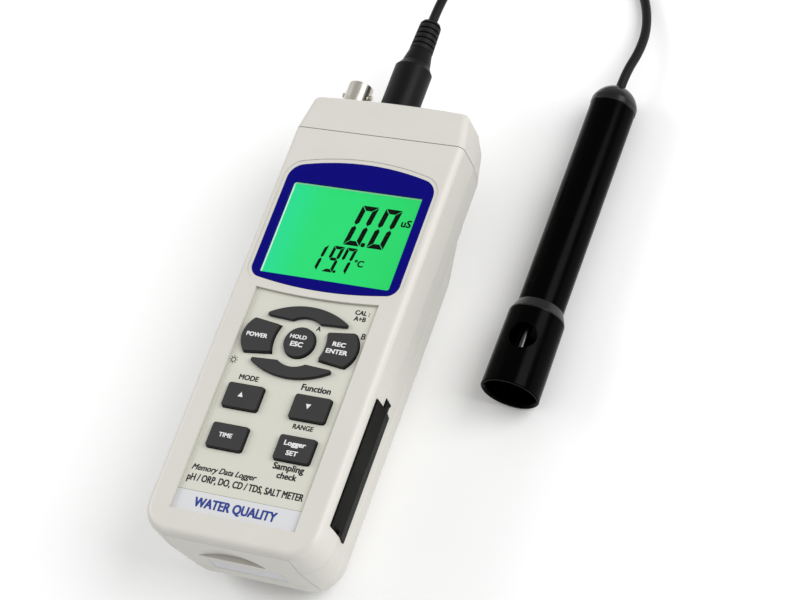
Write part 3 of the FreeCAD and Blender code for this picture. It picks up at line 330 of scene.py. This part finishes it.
def key_rubber_painted_shade():
    """Grey rubber tops, with painted shade making the rounded edges and flanks near-black."""
    recipe = moulded("key_rubber_painted_shade", (0.027, 0.028, 0.027), 0.50, 0.22, 0.03, 0.12, Specular_IOR_Level=0.25)
    grey = recipe.shader.inputs["Base Color"].links[0].from_socket
    # Painted shade: faces that tilt away from straight up are blended to near-black; only the flat tops
    # keep the grey.
    facing = recipe.add("ShaderNodeNewGeometry").outputs["Normal"]
    upward = recipe.add("ShaderNodeSeparateXYZ", Vector=facing).outputs["Z"]
    top = recipe.add("ShaderNodeMapRange", Value=upward)
    top.inputs["From Min"].default_value = KEY_SHADE_SLOPES[0]
    top.inputs["From Max"].default_value = KEY_SHADE_SLOPES[1]
    return recipe.set(Base_Color=recipe.blend(top.outputs["Result"], (0.004, 0.004, 0.005, 1.0), grey))


def display_glow():
    """A green light that turns to aqua at the left and to yellow-green at the right."""
    recipe = Recipe("display_glow")
    across = recipe.step(recipe.axis("X"), -27.0, -10.0)
    right = recipe.step(recipe.axis("X"), -5.0, 30.0)
    cloud = recipe.noise(60.0, 2.0)
    left_half = recipe.blend(across, (0.030, 0.820, 0.330, 1.0), (0.030, 0.800, 0.200, 1.0))
    green = recipe.blend(right, left_half, (0.030, 0.740, 0.160, 1.0))
    colour = recipe.blend(recipe.spread(cloud, 0.0, 0.10), green, (0.060, 0.850, 0.260, 1.0))
    dim = recipe.blend(0.92, colour, (0.0, 0.0, 0.0, 1.0))
    recipe.set(Base_Color=dim, Emission_Color=colour, Emission_Strength=0.84, Specular_IOR_Level=0.02)
    return recipe.set(Roughness=recipe.spread(cloud, 0.30, 0.40))


def clear_window():
    recipe = Recipe("clear_window")
    haze = recipe.noise(300.0, 2.0)
    recipe.set(Base_Color=recipe.blend(haze, (0.040, 0.045, 0.045, 1.0), (0.060, 0.065, 0.065, 1.0)))
    recipe.set(Alpha=0.015, Specular_IOR_Level=0.2)
    return recipe.set(Roughness=recipe.spread(haze, 0.02, 0.06))


def cell_wrap():
    """A dark sleeve with a copper-coloured end."""
    recipe = moulded("cell_wrap", (0.020, 0.022, 0.026), 0.28, 0.5, 0.004, 0.1)
    dark = recipe.shader.inputs["Base Color"].links[0].from_socket
    copper = recipe.step(recipe.axis("Y"), 20.0, 20.4)
    return recipe.set(Base_Color=recipe.blend(copper, dark, (0.520, 0.260, 0.110, 1.0)))


materials = make_materials()

NODE_FINISH = {
    "housing": ("front_shell", "back_shell", "top_cap", "battery_cover", "tilt_stand"),
    "overlay": ("keypad_overlay",),
    "strip": ("name_strip",),
    "label": ("cover_label",),
    "keys": (
        "key_power", "key_hold", "key_record", "key_up", "key_down", "key_time", "key_set", "trim_arcs",
    ),
    "rubber": ("keypad_mat", "strain_relief", "probe_seals"),
    "port": ("port_cover",),
    "black": (
        "socket_insulators", "power_jack", "signal_jack", "reset_switch", "reset_button", "coil_tie",
    ),
    "plug": ("plug_body",),
    "cable": ("probe_lead",),
    "probe": ("cell_sleeve", "probe_handle", "cell_block"),
    "collar": ("probe_collar", "probe_end_cap"),
    "graphite": ("electrodes",),
    "board": ("main_board", "socket_board"),
    "white": ("coaxial_insulator", "cable_clamp"),
    "guide": ("backlight",),
    "nickel": ("coaxial_jack", "coaxial_nut", "multi_pin_sockets", "plug_shell"),
    "sensor": ("temperature_sensor",),
    "steel": ("card_socket", "cell_springs", "cell_contacts", "case_screws", "stand_pins"),
    "rim": ("lcd_frame",),
    "gold": ("coaxial_contact", "plug_pins"),
    "display": ("lcd_panel",),
    "cells": ("cells",),
}


def paint(piece, finish):
    """Gives a piece one finish, on every slot it has."""
    if not piece.material_slots:
        piece.data.materials.append(None)
    for slot in piece.material_slots:
        slot.material = materials[finish]


for finish, names in NODE_FINISH.items():
    for name in names:
        paint(nodes[name], finish)
paint(cable, "cable")

# ---------------------------------------------------------------- building blocks


def add_piece(name, mesh, finish, body):
    piece = bpy.data.objects.new(name, mesh)
    bpy.context.scene.collection.objects.link(piece)
    paint(piece, finish)
    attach(piece, body)
    return piece


def flat_mesh(name, loops, low, high, round_edge=0.0):
    """A flat plate between two heights; the first loop is its outline and the others are holes."""
    curve = bpy.data.curves.new(name, "CURVE")
    curve.dimensions = "2D"
    curve.fill_mode = "BOTH"
    curve.extrude = (high - low) / 2 * MM - round_edge * MM
    curve.bevel_depth = round_edge * MM
    curve.bevel_resolution = 2
    curve.offset = -round_edge * MM
    for loop in loops:
        spline = curve.splines.new("POLY")
        spline.points.add(len(loop) - 1)
        for point, (x, y) in zip(spline.points, loop):
            point.co = (x * MM, y * MM, 0, 1)
        spline.use_cyclic_u = True
    return solid_from(curve, (low + high) / 2)


def solid_from(curve, level):
    """The mesh of a curve or text, moved to a height."""
    mesh = curve_mesh(curve)
    mesh.transform(Matrix.Translation(mm(0, 0, level)))
    mesh.materials.clear()
    return mesh


def bend(start, middle, end, steps=24):
    """Points along the arc through three points."""
    a, b, c = (Vector(point) for point in (start, middle, end))
    ab, ac = b - a, c - a
    twice_area = 2 * (ab.x * ac.y - ab.y * ac.x)
    centre = a + Vector((ac.y * ab.length_squared - ab.y * ac.length_squared,
                         ab.x * ac.length_squared - ac.x * ab.length_squared)) / twice_area
    radius = (a - centre).length
    first = math.atan2(a.y - centre.y, a.x - centre.x)
    sweep = (math.atan2(c.y - centre.y, c.x - centre.x) - first) % (2 * math.pi)
    if twice_area < 0:
        sweep -= 2 * math.pi
    return [
        (centre.x + radius * math.cos(first + sweep * step / steps),
         centre.y + radius * math.sin(first + sweep * step / steps))
        for step in range(steps + 1)
    ]


def round_box(low_x, low_y, high_x, high_y, radius, steps=6):
    """The outline of a rectangle with round corners."""
    corners = (
        (high_x - radius, low_y + radius, -90), (high_x - radius, high_y - radius, 0),
        (low_x + radius, high_y - radius, 90), (low_x + radius, low_y + radius, 180),
    )
    outline = []
    for x, y, start in corners:
        for step in range(steps + 1):
            angle = math.radians(start + 90 * step / steps)
            outline.append((x + radius * math.cos(angle), y + radius * math.sin(angle)))
    return outline


# ---------------------------------------------------------------- display

LENS_TOP = 44.85
LENS_FLOOR = 43.85
WINDOW = (-26.0, 13.9, 26.0, 51.9)


def lens_outline(inset):
    """The crowned outline of the display lens, drawn in by an inset."""
    side = 29.6 - inset
    right_low = bend((25.4, 11.7 + inset), (28.6 - 0.7 * inset, 13.4 + 0.7 * inset), (side, 17.0), 10)
    right_high = bend((side, 53.4), (28.1 - 0.8 * inset, 57.2 - 0.6 * inset), (24.6, 59.3 - inset), 10)
    top = bend((24.6, 59.3 - inset), (0, 62.3 - inset), (-24.6, 59.3 - inset))
    bottom = bend((-25.4, 11.7 + inset), (0, 9.6 + inset), (25.4, 11.7 + inset))
    left_high = [(-x, y) for x, y in reversed(right_high)]
    left_low = [(-x, y) for x, y in reversed(right_low)]
    return right_low + right_high + top[1:-1] + left_high + left_low + bottom[1:-1]


def make_lens():
    window = round_box(*WINDOW, 0.8)
    border = add_piece(
        "lens_border", flat_mesh("lens_border", [lens_outline(0.0), window], LENS_FLOOR, LENS_TOP, 0.2),
        "lens_blue", "meter",
    )
    pane_outline = round_box(WINDOW[0] + 0.05, WINDOW[1] + 0.05, WINDOW[2] - 0.05, WINDOW[3] - 0.05, 0.75)
    pane = add_piece(
        "lens_window", flat_mesh("lens_window", [pane_outline], LENS_FLOOR + 0.1, LENS_TOP - 0.1),
        "window", "meter",
    )
    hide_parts("display_lens")
    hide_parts("display_lens")


SEGMENTS = {
    "0": "abcdef", "1": "bc", "7": "abcf", "9": "abcdfg",
}
SLANT = math.tan(math.radians(8))
# The big reading above and the small one below: base line, then a digit's width, height and bar.
MAIN_BASE = 30.2
MAIN_SIZE = (6.6, 16.6, 1.95)
MAIN_LEFTS = (1.1, 10.5)
MAIN_DOT = (8.1, 1.7)
SMALL_BASE = 18.4
SMALL_SIZE = (4.3, 10.8, 1.25)
SMALL_DIGITS = (("1", -9.6), ("9", -3.2), ("7", 2.0))
SMALL_DOT = (1.3, 1.1)
UNIT_WIDTH = 3.6
LIFT = 0.01


def segment_shapes(width, height, thick):
    """The seven bars of a digit: mitred at the corners, pointed at the waist."""
    gap = 0.09 * thick
    waist = height / 2
    half = thick / 2
    low_left = [
        (0, gap), (thick, thick + gap), (thick, waist - half - gap), (half, waist - gap),
        (0, waist - gap - half),
    ]
    bottom = [(gap, 0), (width - gap, 0), (width - thick - gap, thick), (thick + gap, thick)]
    middle = [
        (half + gap, waist), (thick + gap, waist - half), (width - thick - gap, waist - half),
        (width - half - gap, waist), (width - thick - gap, waist + half), (thick + gap, waist + half),
    ]
    low_right = [(width - x, y) for x, y in low_left]
    return {
        "a": [(x, height - y) for x, y in bottom],
        "b": [(x, height - y) for x, y in low_right],
        "c": low_right,
        "d": bottom,
        "e": low_left,
        "f": [(x, height - y) for x, y in low_left],
        "g": middle,
    }


def digit_loops(digit, x, y, width, height, thick):
    """The segments of one digit; x and y are its lower left corner."""
    shapes = segment_shapes(width, height, thick)
    return [[(x + px + py * SLANT, y + py) for px, py in shapes[name]] for name in SEGMENTS[digit]]


def dot(x, y, size):
    return round_box(x, y, x + size, y + size, size * 0.3, 3)


def make_digits():
    loops = []
    for x in MAIN_LEFTS:
        loops += digit_loops("0", x, MAIN_BASE, *MAIN_SIZE)
    loops.append(dot(MAIN_DOT[0], MAIN_BASE, MAIN_DOT[1]))
    for digit, x in SMALL_DIGITS:
        loops += digit_loops(digit, x, SMALL_BASE, *SMALL_SIZE)
    loops.append(dot(SMALL_DOT[0], SMALL_BASE, SMALL_DOT[1]))
    mesh = flat_mesh("display_digits", loops, LCD_TOP + LIFT, LCD_TOP + LIFT + INK)
    add_piece("display_digits", mesh, "ink_display", "meter")
    legend("display_unit_main", "uS", 22.4, 41.7, UNIT_WIDTH, LCD_TOP, "ink_display", bold=0.9)
    legend("display_unit_small", "°C", 10.1, 23.3, UNIT_WIDTH, LCD_TOP, "ink_display", bold=0.9)


# ---------------------------------------------------------------- printed legends


def legend(name, words, x, y, width, level, finish, body="meter", bold=0.6, slant=0.0, tall=1.0):
    """Printed words of a width, centred on a point; bold thickens them and tall stretches them in y."""
    text = bpy.data.curves.new(name, "FONT")
    text.body = words
    text.align_x = "CENTER"
    text.align_y = "CENTER"
    text.shear = slant
    text.size = 1.0
    text.resolution_u = 3
    probe = bpy.data.objects.new(name, text)
    bpy.context.scene.collection.objects.link(probe)
    bpy.context.view_layer.update()
    natural = probe.dimensions.x
    bpy.data.objects.remove(probe)
    text.size = width * MM / natural
    text.extrude = INK / 2 * MM
    spread = bold * 0.035 * text.size / MM
    glyphs = solid_from(text, level + INK / 2 + 0.01)
    stack = bmesh.new()
    for order, (right, up) in enumerate(((-1, -0.7), (1, -0.7), (0, 0), (-1, 0.7), (1, 0.7))):
        copy = glyphs.copy()
        copy.transform(Matrix.Diagonal((1.0, tall, 1.0, 1.0)))
        copy.transform(Matrix.Translation(mm(x + right * spread, y + up * spread, order * 0.001)))
        stack.from_mesh(copy)
    mesh = bpy.data.meshes.new(name)
    stack.to_mesh(mesh)
    stack.free()
    return add_piece(name, mesh, finish, body)


def ink(name, colour, roughness, shine=0.3):
    recipe = Recipe(name)
    recipe.set(Specular_IOR_Level=shine)
    cloud = recipe.noise(900.0, 2.0)
    recipe.set(Base_Color=recipe.blend(cloud, shade(colour, 0.9), shade(colour, 1.1)))
    return recipe.set(Roughness=recipe.spread(cloud, roughness - 0.05, roughness + 0.05)).material


materials["ink"] = ink("dark_ink", (0.010, 0.010, 0.012), 0.45)
materials["ink_display"] = ink("display_ink", (0.0010, 0.0035, 0.0010), 0.50, 0.05)
materials["ink_white"] = ink("white_ink", (0.700, 0.700, 0.700), 0.50)
materials["ink_blue"] = ink("blue_ink", (0.012, 0.035, 0.230), 0.45)

PANEL_LEGENDS = (
    # name, words, x, y, width, bold, slant, tall
    ("legend_calibrate", "CAL :", 19.1, 4.1, 5.6, 1.0, 0.0, 1.0),
    ("legend_both", "A+B", 18.9, 1.7, 4.5, 1.0, 0.0, 1.0),
    ("legend_a", "A", 4.9, -4.6, 1.7, 0.7, 0.0, 1.0),
    ("legend_b", "B", 22.6, -4.8, 1.5, 0.7, 0.0, 1.0),
    ("legend_mode", "MODE", -14.35, -27.6, 7.6, 1.0, 0.0, 1.0),
    ("legend_function", "Function", 12.5, -27.4, 11.3, 1.0, 0.0, 1.0),
    ("legend_range", "RANGE", 12.9, -42.4, 7.8, 1.0, 0.0, 1.05),
    ("legend_sampling", "Sampling", 13.2, -57.9, 11.9, 1.0, 0.0, 1.0),
    ("legend_check", "check", 13.6, -61.1, 7.5, 1.0, 0.0, 1.0),
    ("legend_logger", "Memory Data Logger", -10.1, -63.8, 25.5, 0.8, 0.3, 1.05),
    ("legend_kinds", "pH / ORP, DO, CD / TDS, SALT METER", -0.2, -67.7, 45.5, 1.1, 0.0, 1.35),
)
KEY_LEGENDS = (
    # key, words, x, y, width, tall
    ("key_power", "POWER", -16.9, -11.3, 8.2, 0.95),
    ("key_hold", "HOLD", -0.8, -9.5, 6.4, 0.85),
    ("key_hold", "ESC", -0.5, -12.4, 4.7, 0.85),
    ("key_record", "REC", 15.5, -9.9, 4.9, 0.80),
    ("key_record", "ENTER", 15.5, -12.8, 8.2, 0.85),
    ("key_time", "TIME", -13.9, -50.9, 5.1, 0.95),
    ("key_set", "Logger", 13.0, -49.4, 8.2, 0.85),
    ("key_set", "SET", 13.1, -53.0, 4.3, 0.85),
)


ARROW_Y = -34.8


def make_legends():
    for name, words, x, y, width, bold, slant, tall in PANEL_LEGENDS:
        legend(name, words, x, y, width, OVERLAY_TOP, "ink", bold=bold, slant=slant, tall=tall)
    legend("legend_name", "WATER QUALITY", -0.6, -76.5, 32.0, OVERLAY_TOP, "ink_blue", bold=1.2, tall=1.2)
    for key, words, x, y, width, tall in KEY_LEGENDS:
        name = f"legend_{words.lower()}"
        legend(name, words, x, y, width, KEY_TOP, "ink_white", body=key, bold=1.0, tall=tall)
    for key, x, up in (("key_up", -14.1, 1), ("key_down", 12.6, -1)):
        foot = ARROW_Y - up * 0.9
        loop = [(x - 1.0, foot), (x + 1.0, foot), (x, ARROW_Y + up * 1.0)]
        mesh = flat_mesh("arrow", [loop], KEY_TOP + LIFT, KEY_TOP + LIFT + INK)
        add_piece(f"arrow_{key}", mesh, "ink_white", key)


def make_lamp_icon():
    """A small ring with rays: the mark for the display light."""
    x, y = -22.9, -21.5
    ring = [
        [(x + radius * math.cos(math.tau * step / 24), y + radius * math.sin(math.tau * step / 24))
         for step in range(24)]
        for radius in (0.95, 0.65)
    ]
    rays = []
    for ray in range(8):
        angle = math.tau * ray / 8
        way = Vector((math.cos(angle), math.sin(angle)))
        side = Vector((-way.y, way.x)) * 0.13
        root = Vector((x, y)) + way * 1.15
        tip = Vector((x, y)) + way * 1.65
        rays.append([root + side, root - side, tip - side, tip + side])
    mesh = flat_mesh("lamp_icon", ring + rays, OVERLAY_TOP + 0.01, OVERLAY_TOP + 0.01 + INK)
    add_piece("lamp_icon", mesh, "ink", "meter")


make_lens()
make_digits()
make_legends()
make_lamp_icon()

# ---------------------------------------------------------------- floor and light

FLOOR_COLOUR = (0.96, 0.96, 0.96, 1.0)
FLOOR_SHADE = (0.94, 0.94, 0.94, 1.0)
FLOOR_HALF = 3.0
FLOOR_DROP = 0.0002
WORLD_STRENGTH = 0.56
LIGHT_AIM = (0.02, 0.03, 0.02)


def make_floor():
    mesh = bpy.data.meshes.new("floor")
    signs = ((-1, -1), (1, -1), (1, 1), (-1, 1))
    mesh.from_pydata([(x * FLOOR_HALF, y * FLOOR_HALF, -FLOOR_DROP) for x, y in signs], [], [(0, 1, 2, 3)])
    floor = bpy.data.objects.new("floor", mesh)
    bpy.context.scene.collection.objects.link(floor)
    recipe = Recipe("floor_paint")
    cloud = recipe.noise(2.0, 2.0)
    recipe.set(Base_Color=recipe.blend(recipe.spread(cloud, 0.0, 1.0), FLOOR_COLOUR, FLOOR_SHADE))
    recipe.set(Roughness=0.9)
    floor.data.materials.append(recipe.material)


def area_light(name, place, size, power):
    light = bpy.data.lights.new(name, "AREA")
    light.shape = "DISK"
    light.size = size
    light.energy = power
    lamp = bpy.data.objects.new(name, light)
    lamp.location = Vector(place)
    lamp.rotation_euler = (Vector(LIGHT_AIM) - Vector(place)).to_track_quat("-Z", "Y").to_euler()
    bpy.context.scene.collection.objects.link(lamp)


def make_world():
    world = bpy.data.worlds.new("studio")
    world.use_nodes = True
    background = world.node_tree.nodes["Background"]
    background.inputs["Color"].default_value = (1.0, 1.0, 1.0, 1.0)
    background.inputs["Strength"].default_value = WORLD_STRENGTH
    bpy.context.scene.world = world


make_floor()
make_world()
bpy.context.scene.view_settings.view_transform = "Standard"
area_light("key_light", (-1.15, 0.15, 0.75), size=0.8, power=7.0)
area_light("fill_light", (1.15, 0.30, 1.00), size=1.2, power=18.0)

bpy.context.view_layer.update()
